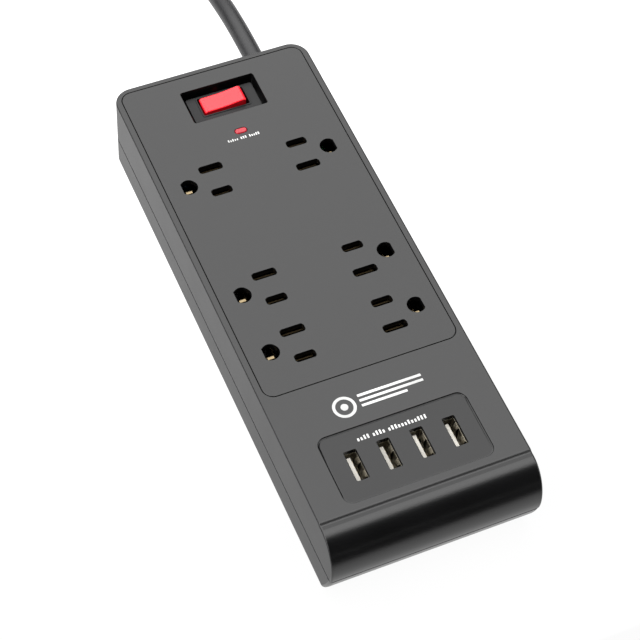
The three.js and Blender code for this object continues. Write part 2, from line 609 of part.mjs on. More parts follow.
function strainRelief() {
  const { start, flange, neck, collar, root, tip, length } = RELIEF;
  const inside = HALF_LENGTH - WALL - GAP;
  const outside = HALF_LENGTH + GAP;
  const end = HALF_LENGTH + length;
  return turnedAlongY(EXIT.x, EXIT.z, [
    [0, start], [flange, start], [flange, inside], [neck, inside], [neck, outside],
    [collar, outside], [collar, outside + 2.2], [root, outside + 3.2], [tip, end], [0, end],
  ], 20);
}

function addCord() {
  add('strain_relief', BLACK_RUBBER, strainRelief());
  add('power_cord', BLACK_RUBBER, tube(CORD_ROUTE, CORD_RADIUS, 10, 8));
  add('cord_coil', BLACK_RUBBER, coilRing());
  add('cord_tail', BLACK_RUBBER, tube(TAIL_ROUTE, CORD_RADIUS, 10, 5));
  add('cord_tie', BLACK_PLASTIC, cordTie());
  addPlug();
}

addHousing();
addSwitch();
addBusBars();
addSurgeProtection();
addUsbCharger();
addWires();
addCord();

export default strip;
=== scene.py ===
"""Looks of a six-outlet power strip: its housing, switch, sockets, cord and plug, with their materials.

Shapes are written in millimetres in the CAD model's frame and turned into metres when a piece is
finished. The origin is on the floor under the middle of the housing, +Y points to the cord and +Z up.
"""
import json
import math
import random

import bmesh
import bpy
from mathutils import Matrix, Vector


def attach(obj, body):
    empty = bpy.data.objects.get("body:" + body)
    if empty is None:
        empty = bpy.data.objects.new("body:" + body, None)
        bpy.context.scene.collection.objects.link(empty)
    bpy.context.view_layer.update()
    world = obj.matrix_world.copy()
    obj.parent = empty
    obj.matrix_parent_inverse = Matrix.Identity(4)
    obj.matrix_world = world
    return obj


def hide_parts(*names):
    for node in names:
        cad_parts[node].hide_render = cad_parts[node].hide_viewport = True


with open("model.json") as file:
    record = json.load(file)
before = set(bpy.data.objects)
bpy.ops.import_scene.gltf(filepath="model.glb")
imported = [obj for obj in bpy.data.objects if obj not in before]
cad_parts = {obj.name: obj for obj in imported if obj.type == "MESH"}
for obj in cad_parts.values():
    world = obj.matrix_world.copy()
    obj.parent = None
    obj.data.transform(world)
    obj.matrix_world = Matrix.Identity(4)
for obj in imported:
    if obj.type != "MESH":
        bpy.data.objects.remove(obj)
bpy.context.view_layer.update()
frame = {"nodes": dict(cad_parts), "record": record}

MM = 0.001

# ---------- sizes shared with the CAD model ----------
HALF_WIDTH = 43.4
HALF_LENGTH = 117.3
TOP = 38.0
BASE = 1.5
SPLIT = 16.6
SEAM_GAP = 0.3
WALL = 2.2
ROOF = 2.5
BACK_RADIUS = 8.0
NOSE_Y = -105.3
NOSE_Z = 20.5
NOSE_DEPTH = 12.0
NOSE_STEP = 0.6
STEP_Y = (-102.5, -104.3)  # where the small step down to the nose starts and ends
NOSE_FOOT_Y = -110.8
NOSE_BULGE_Z = 13.0

ROWS = (59.0, 1.5, -27.25)
COLUMN = 19.0
SLOT_OFFSET = 6.35
SLOT_WIDTH = 3.4
NEUTRAL_SLOT = 9.9
HOT_SLOT = 8.5
GROUND_COLUMN = 30.9
GROUND_RADIUS = 3.62
GROUND_FLAT = 41  # degrees, half of the arc that the flat cuts off

PANEL = {"half": 40.5, "front": -46.6, "back": 114.8, "radius": 4.5}
PANEL_GAP = 0.15
WELL = {"y": 98.3, "width": 32.6, "depth": 17.3, "floor": 31.0, "wall": 1.5}
LENS = {"y": 79.3, "length": 5.2, "width": 2.7}
PIVOT = Vector((0, 99, 31.9))
ROCKER_TILT = math.radians(-5)
ROCKER_Y = (-4.05, 4.05)  # about the pivot
SWITCH_FLANGE = {"width": 30.0, "depth": 13.8, "top": 35.0}
SWITCH_BODY = {"width": 21.9, "depth": 11.6, "bottom": 17.0, "gap": 0.3}
SWITCH_ROOM = {"width": 20.3, "depth": 9.4, "bottom": 19.0}
SWITCH_RIM = {"wall": 0.75, "height": 0.25}

USB_PORTS = (-20.3, -6.8, 6.8, 20.3)
USB_Y = -85.0
USB_MOUTH = {"width": 5.1, "depth": 13.0, "shift": 0.05}
USB_RECESS = {"half": 30.7, "front": -99.7, "back": -70.0, "radius": 3.8, "depth": 0.6}
SCREW_PLACES = [(side * 37.6, y) for y in (104, 4, -96) for side in (-1, 1)]
FOOT_PLACES = {
    "back_left": (-28, 92), "back_right": (28, 92), "front_left": (-28, -86), "front_right": (28, -86),
}
GROOVE = {"width": 0.7, "depth": 0.32, "fade": 18.0}
KEYHOLE_ROWS = (40, -40)

EXIT = Vector((28, 0, SPLIT))
CORD_RADIUS = 4.3
COIL = {"x": -22, "y": 274, "inner": 33.4, "outer": 67.9, "top": 19.7}
PLUG = {"y": 312.0, "z": 31.9, "end": 0.0, "back": -24.0, "face": -64.0}


# ---------- mesh helpers ----------
def rounded_rectangle(x0, x1, y0, y1, radius, back_radius=None, steps=6):
    """Anticlockwise points of a rectangle; back_radius is for the corners at y1."""
    back = radius if back_radius is None else back_radius
    corners = (
        (x1 - radius, y0 + radius, radius, -90), (x1 - back, y1 - back, back, 0),
        (x0 + back, y1 - back, back, 90), (x0 + radius, y0 + radius, radius, 180),
    )
    points = []
    for x, y, r, start in corners:
        for i in range(steps + 1):
            angle = math.radians(start + 90 * i / steps)
            points.append((x + r * math.cos(angle), y + r * math.sin(angle)))
    return points


def rectangle_about(x, y, width, depth, radius, steps=6):
    """A function from grow to the points of a rounded rectangle that is grow larger all round."""
    def outline(grow):
        half_x, half_y = width / 2 + grow, depth / 2 + grow
        return rounded_rectangle(x - half_x, x + half_x, y - half_y, y + half_y,
                                 max(radius + grow, 0.02), steps=steps)
    return outline


def circle(x, y, radius, steps=40):
    angles = [2 * math.pi * i / steps for i in range(steps)]
    return [(x + radius * math.cos(a), y + radius * math.sin(a)) for a in angles]


def level(points, z):
    return [(x, y, z) for x, y in points]


def add_loft(bm, rings, capped=True):
    """Join rings of equally many points with quads, and close both ends."""
    rows = [[bm.verts.new(point) for point in ring] for ring in rings]
    count = len(rows[0])
    for low, high in zip(rows, rows[1:]):
        for i in range(count):
            j = (i + 1) % count
            bm.faces.new((low[i], low[j], high[j], high[i]))
    if capped:
        bm.faces.new(rows[0][::-1])
        bm.faces.new(rows[-1])
    return rows


def add_ring_band(bm, rings):
    """Join rings into a closed ring-shaped solid: the last ring joins the first."""
    add_loft(bm, rings + rings[:1], capped=False)
    bmesh.ops.remove_doubles(bm, verts=bm.verts, dist=1e-5)


def rounded_slab(outline, low, high, low_round=0.0, high_round=0.0, steps=4):
    """Rings of a slab whose lower and upper outer edges are rounded."""
    rings = []
    for i in range(steps if low_round else 0):
        angle = math.pi / 2 * i / steps
        inset, rise = low_round * (1 - math.sin(angle)), low_round * (1 - math.cos(angle))
        rings.append(level(outline(-inset), low + rise))
    rings.append(level(outline(0), low + low_round))
    rings.append(level(outline(0), high - high_round))
    for i in range(1, steps + 1 if high_round else 0):
        angle = math.pi / 2 * i / steps
        inset, drop = high_round * (1 - math.cos(angle)), high_round * (1 - math.sin(angle))
        rings.append(level(outline(-inset), high - drop))
    return rings


def flared_hole(outline, low, high, flare, steps=4):
    """Rings of a cutter that leaves a rounded edge of radius flare round the hole's mouth at high."""
    rings = [level(outline(0), low), level(outline(0), high - flare)]
    for i in range(1, steps + 1):
        angle = math.pi / 2 * i / steps
        rings.append(level(outline(flare * (1 - math.cos(angle))), high - flare * (1 - math.sin(angle))))
    rings.append(level(outline(flare), high + 1))
    return rings


AXES = {
    "X": Matrix(((0, 0, 1), (1, 0, 0), (0, 1, 0))),
    "Y": Matrix(((1, 0, 0), (0, 0, 1), (0, 1, 0))),
    "Z": Matrix.Identity(3),
}


def add_turned(bm, pairs, centre=(0, 0, 0), axis="Z", steps=32):
    """A solid of revolution from (radius, distance along the axis) pairs."""
    turn = AXES[axis]
    rings = []
    for radius, along in pairs:
        angles = [2 * math.pi * i / steps for i in range(steps)]
        rings.append([turn @ Vector((radius * math.cos(a), radius * math.sin(a), along)) + Vector(centre)
                      for a in angles])
    add_loft(bm, rings)


def add_prism(bm, points, start, end, axis="Z"):
    """A prism with its outline across the axis: (y, z) for X, (x, z) for Y and (x, y) for Z."""
    turn = AXES[axis]
    add_loft(bm, [[turn @ Vector((a, b, along)) for a, b in points] for along in (start, end)])


def add_block(bm, x, y, z, rounding=0.0):
    """A block from (low, high) pairs, with rounded upright edges."""
    outline = rounded_rectangle(*x, *y, max(rounding, 0.01), steps=3 if rounding else 1)
    add_loft(bm, [level(outline, z[0]), level(outline, z[1])])


def add_planar_sweep(bm, route, section, normal, closed=False):
    """Sweep (across, outwards) points along a route that lies in the plane square to normal."""
    normal = Vector(normal)
    route = [Vector(point) for point in route]
    rings = []
    for i, point in enumerate(route):
        before = route[i - 1] if i or closed else point
        after = route[(i + 1) % len(route)] if i + 1 < len(route) or closed else point
        outwards = (after - before).normalized().cross(normal)
        rings.append([point + normal * a + outwards * b for a, b in section])
    if closed:
        add_ring_band(bm, rings)
    else:
        add_loft(bm, rings)


def new_object(name, bm):
    """An object from a bmesh in millimetres."""
    bmesh.ops.recalc_face_normals(bm, faces=bm.faces)
    mesh = bpy.data.meshes.new(name)
    bm.to_mesh(mesh)
    bm.free()
    obj = bpy.data.objects.new(name, mesh)
    bpy.context.scene.collection.objects.link(obj)
    return obj


def build(name, *adders):
    """An object from functions that each add a closed solid to a bmesh."""
    bm = bmesh.new()
    for adder in adders:
        adder(bm)
    return new_object(name, bm)


def lofts(name, *ring_sets):
    bm = bmesh.new()
    for rings in ring_sets:
        add_loft(bm, rings)
    return new_object(name, bm)


def bake_modifiers(obj):
    graph = bpy.context.evaluated_depsgraph_get()
    mesh = bpy.data.meshes.new_from_object(obj.evaluated_get(graph))
    obj.modifiers.clear()
    old = obj.data
    obj.data = mesh
    bpy.data.meshes.remove(old)


def combine(obj, other, operation="DIFFERENCE"):
    """Cut, join or intersect obj with another object, which is used up."""
    modifier = obj.modifiers.new("combine", "BOOLEAN")
    modifier.operation = operation
    modifier.solver = "EXACT"
    modifier.object = other
    bake_modifiers(obj)
    bpy.data.objects.remove(other)


def bevel(obj, width, segments, angle):
    modifier = obj.modifiers.new("bevel", "BEVEL")
    modifier.width = width
    modifier.segments = segments
    modifier.limit_method = "ANGLE"
    modifier.angle_limit = math.radians(angle)
    bake_modifiers(obj)


def finish(obj, material, body, slot, *nodes, sharp=35):
    """Turn a piece into metres, shade it, and say which body it rides on and which nodes it replaces."""
    obj.data.transform(Matrix.Scale(MM, 4))
    obj.data.shade_smooth()
    obj.data.set_sharp_from_angle(angle=math.radians(sharp))
    weighted = obj.modifiers.new("weighted_normals", "WEIGHTED_NORMAL")
    weighted.keep_sharp = True
    obj.data.materials.append(material)
    declare(obj, body, slot, *nodes)
    return obj


def declare(obj, body, slot, *nodes):
    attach(obj, body)
    if nodes:
        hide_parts(*nodes)


# ---------- materials ----------
class Shader:
    """A Principled material with small helpers for procedural inputs."""

    def __init__(self, name, color, roughness, metallic=0.0, specular=0.5):
        self.material = bpy.data.materials.new(name)
        self.material.use_nodes = True
        self.nodes = self.material.node_tree.nodes
        self.links = self.material.node_tree.links
        self.principled = self.nodes["Principled BSDF"]
        self.set("Base Color", (*color, 1))
        self.set("Roughness", roughness)
        self.set("Metallic", metallic)
        self.set("IOR", 1.5)
        self.set("Specular IOR Level", specular)
        self.color = color
        self.roughness = roughness

    def set(self, socket, value):
        self.principled.inputs[socket].default_value = value

    def add(self, kind, **settings):
        node = self.nodes.new(kind)
        for key, value in settings.items():
            setattr(node, key, value)
        return node

    def link(self, source, target):
        self.links.new(source, target)

    def noise(self, scale, detail, stretch=(1, 1, 1)):
        """A noise pattern in object space; scale is in waves per metre."""
        place = self.add("ShaderNodeTexCoord")
        mapping = self.add("ShaderNodeMapping")
        mapping.inputs["Scale"].default_value = stretch
        pattern = self.add("ShaderNodeTexNoise")
        pattern.inputs["Scale"].default_value = scale
        pattern.inputs["Detail"].default_value = detail
        self.link(place.outputs["Object"], mapping.inputs["Vector"])
        self.link(mapping.outputs["Vector"], pattern.inputs["Vector"])
        return pattern.outputs["Fac"]

    def ramp(self, source, stops):
        node = self.add("ShaderNodeValToRGB")
        elements = node.color_ramp.elements
        while len(elements) < len(stops):
            elements.new(0.5)
        for element, (position, value) in zip(elements, stops):
            element.position = position
            element.color = (*value, 1) if isinstance(value, tuple) else (value, value, value, 1)
        self.link(source, node.inputs["Fac"])
        return node.outputs["Color"]

    def vary_color(self, source, amount):
        dark = tuple(c * (1 - amount) for c in self.color)
        light = tuple(min(c * (1 + amount), 1) for c in self.color)
        self.link(self.ramp(source, [(0.3, dark), (0.7, light)]), self.principled.inputs["Base Color"])

    def vary_roughness(self, source, amount):
        stops = [(0.3, self.roughness - amount), (0.7, self.roughness + amount)]
        self.link(self.ramp(source, stops), self.principled.inputs["Roughness"])

    def bump(self, source, distance):
        node = self.add("ShaderNodeBump")
        node.inputs["Distance"].default_value = distance
        self.link(source, node.inputs["Height"])
        self.link(node.outputs["Normal"], self.principled.inputs["Normal"])


def moulded(name, color, roughness, grain=1600, depth=0.00002, specular=0.5, sheen_change=0.03):
    """Moulded plastic or rubber: a fine grain, and slow changes of shine."""
    shader = Shader(name, color, roughness, specular=specular)
    slow = shader.noise(60, detail=2)
    shader.vary_color(slow, 0.25)
    shader.vary_roughness(slow, sheen_change)
    shader.bump(shader.noise(grain, detail=2), depth)
    return shader


def metal(name, color, roughness, stretch=(1, 1, 12), depth=0.000004):
    """Rolled or drawn metal: fine lines along one direction."""
    shader = Shader(name, color, roughness, metallic=1.0)
    lines = shader.noise(900, detail=4, stretch=stretch)
    shader.vary_color(shader.noise(250, detail=3), 0.12)
    shader.vary_roughness(lines, 0.06)
    shader.bump(lines, depth)
    return shader


def glowing(name, color, glow, strength, roughness=0.22):
    """Lit translucent plastic: brighter in patches, as over a lamp."""
    shader = Shader(name, color, roughness)
    patches = shader.noise(110, detail=2)
    light = tuple(min(c * 1.12, 1) for c in glow)
    dark = tuple(c * 0.86 for c in glow)
    color = shader.ramp(patches, [(0.3, dark), (0.7, light)])
    shader.link(color, shader.principled.inputs["Emission Color"])
    shader.set("Emission Strength", strength)
    shader.vary_color(patches, 0.1)
    return shader


LOOKS = {
    "housing": moulded("housing_black", (0.002, 0.002, 0.0022), 0.29, sheen_change=0.008),
    "flank": moulded("flank_black", (0.002, 0.002, 0.0022), 0.44, sheen_change=0.01),
    "recess": moulded("recess_black", (0.002, 0.002, 0.0022), 0.33, sheen_change=0.008, specular=0.4),
    "switch": moulded("switch_black", (0.006, 0.006, 0.0065), 0.4, grain=2200, specular=0.24),
    "rubber": moulded("soft_rubber", (0.012, 0.012, 0.012), 0.62, grain=2600, depth=0.00003),
    "cord": moulded("cord_black", (0.010, 0.010, 0.011), 0.45, grain=2000, depth=0.00002),
    "strap": moulded("woven_strap", (0.012, 0.012, 0.013), 0.85, grain=3000, depth=0.0001),
    "rocker": glowing("lit_red", (0.5, 0.01, 0.015), (1.0, 0.012, 0.028), 0.72),
    # painted shade: a dimmer copy of the lit red, for the rocker's sides
    "rocker_painted_shade": glowing("shaded_red", (0.2, 0.004, 0.008), (0.5, 0.004, 0.008), 0.22),
    "lens": glowing("lens_red", (0.35, 0.01, 0.02), (0.5, 0.03, 0.06), 0.1, roughness=0.3),
    "lamp": glowing("lamp_red", (0.8, 0.1, 0.08), (1.0, 0.25, 0.18), 1.2, roughness=0.15),
    "ink": moulded("white_ink", (0.6, 0.6, 0.59), 0.55, grain=4000, depth=0.00001),
    "brass": metal("contact_brass", (0.25, 0.195, 0.115), 0.42),
    # painted shade: brass made nearly black, for the bus bars deep behind the blade slots
    "bus": metal("bus_brass_painted_shade", (0.05, 0.037, 0.02), 0.5),
    "blade": metal("blade_brass", (0.74, 0.6, 0.3), 0.26, stretch=(1, 12, 1)),
    "nickel": metal("port_nickel", (0.36, 0.33, 0.26), 0.36),
    "steel": metal("screw_zinc", (0.55, 0.55, 0.56), 0.34, stretch=(1, 1, 1)),
    "tongue": moulded("port_white", (0.5, 0.48, 0.43), 0.45, grain=1800),
    "board": moulded("board_green", (0.02, 0.14, 0.06), 0.35, grain=900),
    "varistor": moulded("varistor_blue", (0.03, 0.08, 0.35), 0.3, grain=500, depth=0.00006),
    "fuse": moulded("fuse_white", (0.75, 0.75, 0.7), 0.55),
    "core": moulded("core_dark", (0.06, 0.045, 0.04), 0.5, grain=800, depth=0.00005),
    "can": metal("can_aluminium", (0.62, 0.62, 0.64), 0.28),
    "line": moulded("line_black", (0.012, 0.012, 0.012), 0.4),
    "neutral": moulded("neutral_white", (0.75, 0.75, 0.73), 0.4),
    "ground": moulded("ground_green", (0.02, 0.25, 0.06), 0.4),
}


def look(name):
    return LOOKS[name].material


# ---------- camera, light and floor ----------
FLOOR_REACH = 12
FLOOR_GLOW = {"From Min": -0.08, "From Max": 0.2, "To Min": 0.96, "To Max": 1.5}
CARD = {"x": (-0.5, 0.5), "y": (-0.9, -0.168), "z": 0.001}
# The lights' edges, each along a component of the direction that the light comes from: where it has
# faded and where it is full. The softbox's edges also say what is left of it past the edge.
SOFTBOX_EDGES = (
    ("X", 0.7, 0.42, 0.0), ("Y", -0.40, -0.16, 0.0), ("Y", 0.45, 0.15, 0.78), ("Z", 0.3, 0.55, 0.0),
)
SOFTBOX_RADIANCE = 4.1
WING_EDGES = {"X": (0.55, 0.8), "Y": (0.1, -0.25)}
WING_RADIANCE = 2.6
ROOM_RADIANCE = 0.006
CAMERA_AZIMUTH = math.radians(-27.4525)
CAMERA_ELEVATION = math.radians(55.0844)
CAMERA_ROLL = math.radians(5.0695)
CAMERA_DISTANCE = 0.786589
CAMERA_LENS = 113.99
CAMERA_TARGET = Vector((-0.00724, -0.020419, 0.038))


def add_camera():
    back = Vector((
        math.sin(CAMERA_AZIMUTH) * math.cos(CAMERA_ELEVATION),
        -math.cos(CAMERA_AZIMUTH) * math.cos(CAMERA_ELEVATION),
        math.sin(CAMERA_ELEVATION),
    ))
    right = Vector((math.cos(CAMERA_AZIMUTH), math.sin(CAMERA_AZIMUTH), 0))
    up = back.cross(right)
    turn = Matrix((right, up, back)).transposed() @ Matrix.Rotation(CAMERA_ROLL, 3, "Z")
    data = bpy.data.cameras.new("camera")
    data.lens = CAMERA_LENS
    data.sensor_width = 36
    data.clip_start = 0.01
    data.clip_end = 60
    camera = bpy.data.objects.new("camera", data)
    camera.matrix_world = Matrix.Translation(CAMERA_TARGET + back * CAMERA_DISTANCE) @ turn.to_4x4()
    bpy.context.scene.collection.objects.link(camera)
    bpy.context.scene.camera = camera


def stage_sheet(name, x, y, z, shader):
    """A flat rectangle from (low, high) pairs in metres, which isn't part of the object."""
    mesh = bpy.data.meshes.new(name)
    corners = [(x[0], y[0], z), (x[1], y[0], z), (x[1], y[1], z), (x[0], y[1], z)]
    mesh.from_pydata(corners, [], [(0, 1, 2, 3)])
    mesh.materials.append(shader.material)
    sheet = bpy.data.objects.new(name, mesh)
    bpy.context.scene.collection.objects.link(sheet)
    return sheet


def add_floor():
    """A plain white floor. It glows, more so at the back, so that only a faint shadow shows on it."""
    shader = Shader("floor_white", (0.03, 0.03, 0.03), 1.0, specular=0.0)
    place = shader.add("ShaderNodeTexCoord")
    split = shader.add("ShaderNodeSeparateXYZ")
    glow = shader.add("ShaderNodeMapRange")
    shader.link(place.outputs["Object"], split.inputs["Vector"])
    shader.link(split.outputs["Y"], glow.inputs["Value"])
    for socket, value in FLOOR_GLOW.items():
        glow.inputs[socket].default_value = value
    shader.link(glow.outputs["Result"], shader.principled.inputs["Emission Strength"])
    shader.set("Emission Color", (1, 1, 1, 1))
    reach = (-FLOOR_REACH, FLOOR_REACH)
    stage_sheet("floor", reach, reach, 0, shader)


def add_black_card():
    """A black card on the floor in front of the nose, which only reflections see."""
    shader = Shader("card_black", (0.003, 0.003, 0.003), 1.0, specular=0.0)
    card = stage_sheet("black_card", CARD["x"], CARD["y"], CARD["z"], shader)
    card.visible_camera = False
    card.visible_shadow = False


def fade(tree, source, faded, full, rest=0.0):
    """A light's edge: rises smoothly from rest to 1 as source goes from faded to full."""
    edge = tree.nodes.new("ShaderNodeMapRange")
    edge.interpolation_type = "SMOOTHSTEP"
    edge.inputs["From Min"].default_value = faded
    edge.inputs["From Max"].default_value = full
    edge.inputs["To Min"].default_value = rest
    tree.links.new(source, edge.inputs["Value"])
    return edge.outputs["Result"]


def calculate(tree, operation, *values):
    """A Math node's output; each value is a number or another node's output."""
    node = tree.nodes.new("ShaderNodeMath")
    node.operation = operation
    for socket, value in zip(node.inputs, values):
        if isinstance(value, float):
            socket.default_value = value
        else:
            tree.links.new(value, socket)
    return node.outputs["Value"]


def add_world():
    """Studio surroundings: a wide softbox high at the back, dark in front, white as a backdrop.

    Two side lights towards the front show in the top when it is seen from behind.
    """
    world = bpy.data.worlds.new("studio")
    world.use_nodes = True
    bpy.context.scene.world = world
    tree = world.node_tree
    place = tree.nodes.new("ShaderNodeTexCoord")
    direction = tree.nodes.new("ShaderNodeSeparateXYZ")
    tree.links.new(place.outputs["Generated"], direction.inputs["Vector"])
    softbox = 1.0
    for axis, faded, full, rest in SOFTBOX_EDGES:
        edge = fade(tree, direction.outputs[axis], faded, full, rest)
        softbox = calculate(tree, "MULTIPLY", softbox, edge)
    sideways = calculate(tree, "ABSOLUTE", direction.outputs["X"])
    wings = calculate(tree, "MULTIPLY", fade(tree, sideways, *WING_EDGES["X"]),
                      fade(tree, direction.outputs["Y"], *WING_EDGES["Y"]))
    light = calculate(tree, "MULTIPLY_ADD", wings, WING_RADIANCE, ROOM_RADIANCE)
    light = calculate(tree, "MULTIPLY_ADD", softbox, SOFTBOX_RADIANCE, light)
    rays = tree.nodes.new("ShaderNodeLightPath")
    mix = tree.nodes.new("ShaderNodeMix")
    mix.data_type = "FLOAT"
    tree.links.new(rays.outputs["Is Camera Ray"], mix.inputs["Factor"])
    tree.links.new(light, mix.inputs["A"])
    mix.inputs["B"].default_value = 1.0
    background = tree.nodes["Background"]
    tree.links.new(mix.outputs["Result"], background.inputs["Strength"])
    background.inputs["Color"].default_value = (1, 1, 1, 1)


add_camera()
add_floor()
add_black_card()
add_world()
bpy.context.scene.view_settings.view_transform = "Standard"

# ---------- cord ----------
WINDING = {"radius": 62.0, "pitch": 8.7, "inwards": 2.6, "turns": 5.0, "low": 5.4, "high": 14.1}
CORD_ROUTE = [
    (28, 127.4, 16.6), (28, 137, 16.6), (28, 146, 16.5), (28, 155, 15.9), (28.1, 164, 14.6),
    (28.2, 173, 12.6), (28.5, 182, 10.1), (29, 191, 7.7), (29.8, 200, 5.9), (30.8, 209, 4.8),
    (32, 218, 4.4), (33.2, 227.4, 4.35), (35.2, 239, 4.45), (37.2, 250, 4.8), (39.1, 262, 5.2),
]
TAIL_ROUTE = [
    (38, 276, 17.5), (37, 284, 21), (33.9, 291.3, 23.9), (29.5, 297.9, 25.9), (23.7, 303.7, 27.8),
    (16.7, 308.2, 29.5), (8.5, 311, 30.9), (3.6, 311.8, 31.7), (0.3, 312, 31.9), (-6, 312, 31.9),
]


def coil_route():
    """The coil's turns: inwards on the floor, then outwards on top of them."""
    points = []
    steps = 24
    for i in range(int(WINDING["turns"] * steps)):
        turn = i / steps
        away = turn - WINDING["inwards"]
        inwards = WINDING["inwards"] - math.sqrt(away * away + 0.012)
        radius = WINDING["radius"] - WINDING["pitch"] * inwards
        climb = min(max(away / 0.2 + 0.5, 0), 1)
        lift = min(max((turn - WINDING["turns"] + 0.12) / 0.12, 0), 1)
        height = WINDING["low"] + (WINDING["high"] - WINDING["low"]) * climb * climb * (3 - 2 * climb)
        angle = 2 * math.pi * turn
        points.append((COIL["x"] + radius * math.cos(angle), COIL["y"] + radius * math.sin(angle),
                       height + 1.6 * lift * lift))
    return points


def smooth_route(points, step=3.0):
    """Points about step apart on one smooth curve through the given points."""
    route = []
    ends = [points[0]] + points + [points[-1]]
    for a, b, c, d in zip(ends, ends[1:], ends[2:], ends[3:]):
        a, b, c, d = (Vector(p) for p in (a, b, c, d))
        count = max(1, round((c - b).length / step))
        for i in range(count):
            t = i / count
            route.append(0.5 * (2 * b + (c - a) * t + (2 * a - 5 * b + 4 * c - d) * t * t
                                + (3 * b - a - 3 * c + d) * t ** 3))
    return route + [Vector(points[-1])]


def add_cord():
    route = smooth_route(CORD_ROUTE + coil_route() + TAIL_ROUTE)
    curve = bpy.data.curves.new("mains_cord", "CURVE")
    curve.dimensions = "3D"
    curve.bevel_depth = CORD_RADIUS * MM
    curve.bevel_resolution = 6
    curve.use_fill_caps = True
    spline = curve.splines.new("POLY")
    spline.points.add(len(route) - 1)
    for point, place in zip(spline.points, route):
        point.co = (*(place * MM), 1)
    spline.use_smooth = True
    cord = bpy.data.objects.new("mains_cord", curve)
    bpy.context.scene.collection.objects.link(cord)
    curve.materials.append(look("cord"))
    declare(cord, "housing", "cord_jacket", "power_cord", "cord_coil", "cord_tail")
    return cord


# ---------- housing ----------
def side_profile(inset=0.0):
    """(y, z) points round the housing's side, from the back's foot over the top to the nose's foot."""
    top = TOP - (inset + ROOF - WALL if inset else 0)
    depth = NOSE_DEPTH - inset
    height = TOP - NOSE_STEP - NOSE_Z - inset
    points = [(HALF_LENGTH - inset, BASE + inset), (HALF_LENGTH - inset, top)]
    for i in range(9):
        t = i / 8
        fall = t * t * (3 - 2 * t)
        points.append((STEP_Y[0] + (STEP_Y[1] - STEP_Y[0]) * t, top + (NOSE_Z + height - top) * fall))
    for i in range(41):
        angle = math.pi / 2 * (1 + i / 40)
        points.append((NOSE_Y + depth * math.cos(angle), NOSE_Z + height * math.sin(angle)))
    front = NOSE_Y - depth
    foot = (NOSE_FOOT_Y + inset, BASE + inset)
    for i in range(1, 13):
        t = i / 12
        y = (1 - t) * (1 - t) * front + 2 * t * (1 - t) * front + t * t * foot[0]
        z = (1 - t) * (1 - t) * NOSE_Z + 2 * t * (1 - t) * NOSE_BULGE_Z + t * t * foot[1]
        points.append((y, z))
    return points


def clip_level(points, level_z, above):
    """The part of a (y, z) outline that lies above or below a level."""
    kept = []
    for (y0, z0), (y1, z1) in zip(points, points[1:] + points[:1]):
        if (z0 >= level_z) == above:
            kept.append((y0, z0))
        if (z0 >= level_z) != (z1 >= level_z):
            t = (level_z - z0) / (z1 - z0)
            kept.append((y0 + (y1 - y0) * t, level_z))
    return kept


def sharp_edges(bm, seam_z, on_seam):
    """Edges that turn by more than 35 degrees, either on the parting level or away from it."""
    found = []
    for edge in bm.edges:
        at_seam = all(abs(vert.co.z - seam_z) < 0.01 for vert in edge.verts)
        if at_seam == on_seam and edge.calc_face_angle(0) > math.radians(35):
            found.append(edge)
    return found


def housing_part(name, low, high, inset=0.0, rim=0.0, seam_z=None, chamfer=0.0):
    """A part of the housing's outer shape between two levels, with rounded edges and a chamfered seam."""
    outline = clip_level(clip_level(side_profile(inset), low, True), high, False)
    half = HALF_WIDTH - inset
    back = HALF_LENGTH - inset
    bm = bmesh.new()
    add_loft(bm, [[(x, y, z) for y, z in outline] for x in (-half, half)])
    bmesh.ops.recalc_face_normals(bm, faces=bm.faces)
    corners = [e for e in bm.edges if all(abs(v.co.y - back) < 0.01 for v in e.verts)
               and abs(e.verts[0].co.x - e.verts[1].co.x) < 0.01]
    bmesh.ops.bevel(bm, geom=corners, offset=BACK_RADIUS - inset, segments=12, profile=0.5, affect="EDGES")
    if rim:
        rims = sharp_edges(bm, seam_z, False)
        bmesh.ops.bevel(bm, geom=rims, offset=rim, segments=4, profile=0.5, affect="EDGES")
        seams = sharp_edges(bm, seam_z, True)
        bmesh.ops.bevel(bm, geom=seams, offset=chamfer, segments=1, profile=0.5, affect="EDGES")
    return new_object(name, bm)


def panel_outline(grow):
    half = PANEL["half"] + grow
    return rounded_rectangle(-half, half, PANEL["front"] - grow, PANEL["back"] + grow,
                             PANEL["radius"] + grow, steps=10)


def recess_outline(grow):
    half = USB_RECESS["half"] + grow
    return rounded_rectangle(-half, half, USB_RECESS["front"] - grow, USB_RECESS["back"] + grow,
                             USB_RECESS["radius"] + grow, steps=10)


def recess_groove():
    """A V-shaped groove just inside the recess's edge, shallow at the back and fading towards the nose."""
    front, back = USB_RECESS["front"], USB_RECESS["back"]
    floor = TOP - USB_RECESS["depth"]
    bottom = []
    for x, y in recess_outline(-GROOVE["width"] / 2):
        share = min((y - front) / GROOVE["fade"], 1) * min((back - y) / USB_RECESS["radius"] + 0.2, 1)
        bottom.append((x, y, floor - 0.02 - GROOVE["depth"] * share))
    bm = bmesh.new()
    add_ring_band(bm, [bottom, level(recess_outline(0), floor + 0.05),
                       level(recess_outline(-GROOVE["width"]), floor + 0.05)])
    return new_object("groove", bm)


def relief_hole():
    return build("hole", lambda bm: add_turned(
        bm, [(6.1, 108), (6.1, 116.9), (6.5, 117.3), (6.5, 119)], EXIT, "Y"))


def add_ledge(bm):
    outer = rounded_rectangle(-41.4, 41.4, PANEL["front"] - 4, HALF_LENGTH - 2, 2, 6.2)
    inner = rounded_rectangle(-38.4, 38.4, PANEL["front"] + 2.6, PANEL["back"] - 2.4, 2)
    add_ring_band(bm, [level(outer, 33.2), level(outer, 35.2), level(inner, 35.2), level(inner, 33.2)])


def paint_flanks(shell):
    """The flat sides have a coarser, less shiny grain than the top."""
    shell.data.materials.append(look("flank"))
    for face in shell.data.polygons:
        if abs(face.normal.x) > 0.99:
            face.material_index = 1


